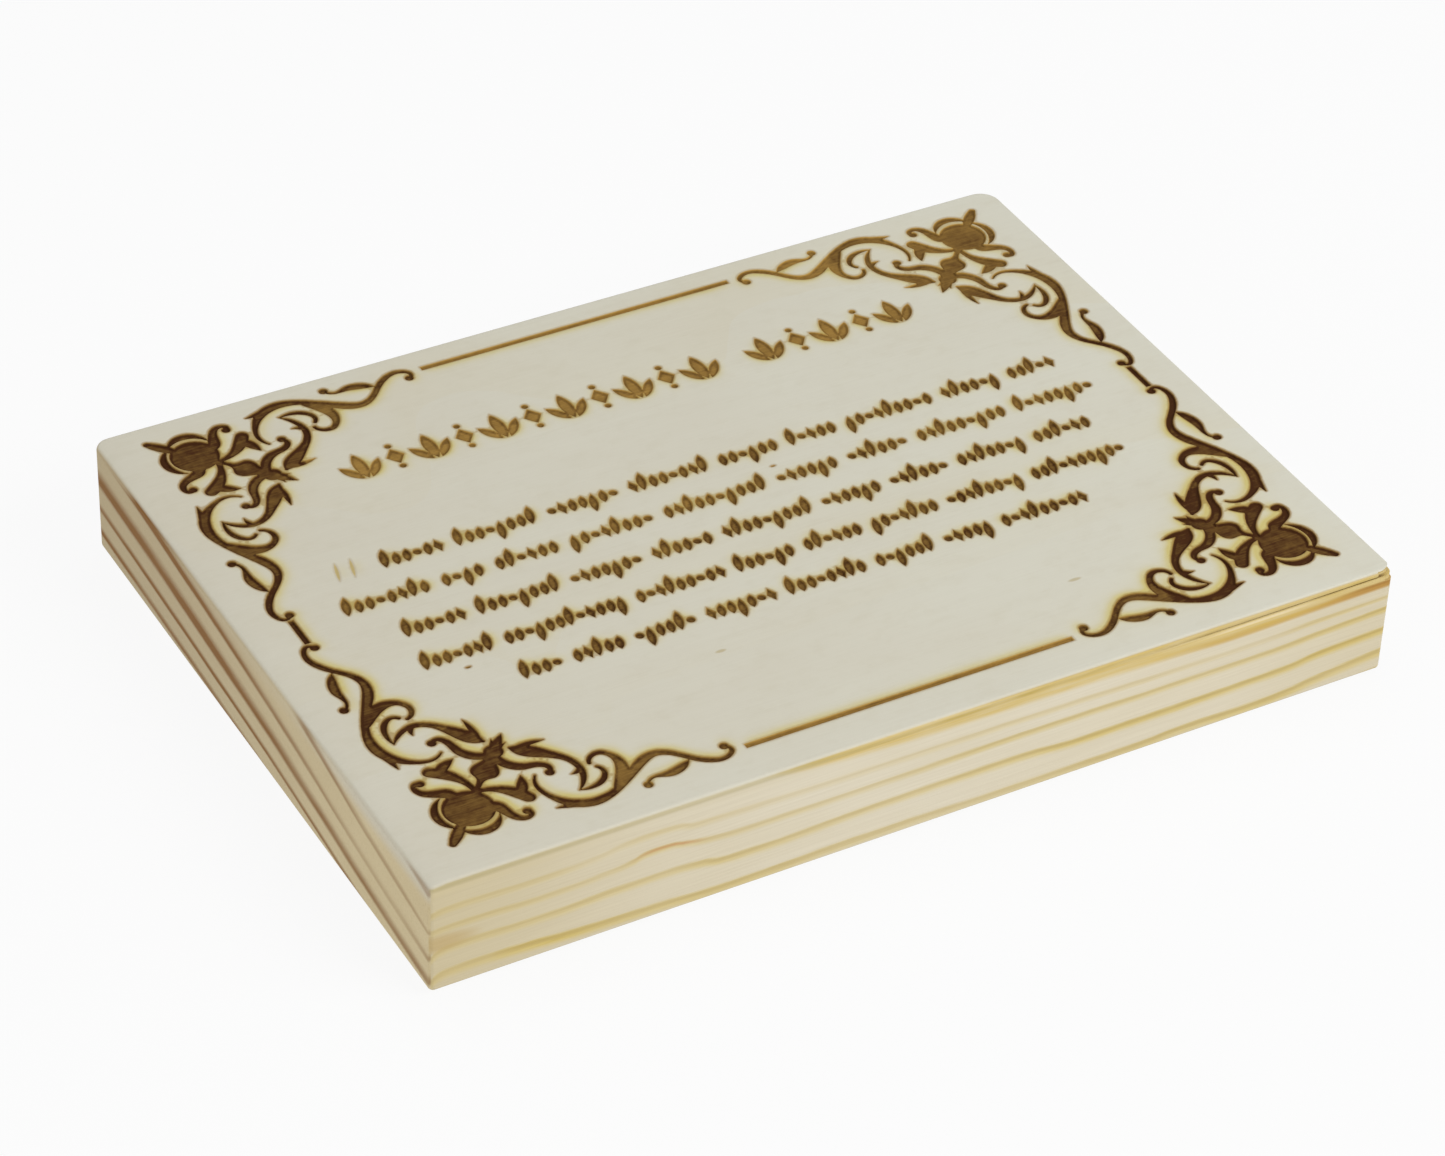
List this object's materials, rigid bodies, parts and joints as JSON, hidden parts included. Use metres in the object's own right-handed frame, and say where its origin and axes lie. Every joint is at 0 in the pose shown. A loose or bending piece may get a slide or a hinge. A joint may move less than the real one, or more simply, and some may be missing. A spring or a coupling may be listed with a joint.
{
  "type": "wooden plaque",
  "caption": "Solid wooden plaque with a burned ornamental face, hung from a flush keyhole plate or stood on its long edge.",
  "frame": {"origin": "on the surface under the felt pads, below the centre of the board's outline, with the plaque lying on its back", "axes": "+X along the long side, +Y towards the top edge of the design, +Z out of the engraved face"},
  "size_m": [0.18, 0.13, 0.0226],
  "materials": {
    "pine": "sanded, unvarnished, burned brown in the engraving",
    "plate_steel": "zinc plated, satin",
    "screw_steel": "zinc plated, satin",
    "felt": "brown wool felt"
  },
  "bodies": {
    "root": {"plaque_board": "pine", "keyhole_plate": "plate_steel", "plate_screw_lower": "screw_steel", "plate_screw_upper": "screw_steel", "felt_pad_bottom_left": "felt", "felt_pad_bottom_right": "felt", "felt_pad_top_left": "felt", "felt_pad_top_right": "felt"}
  },
  "joints": []
}
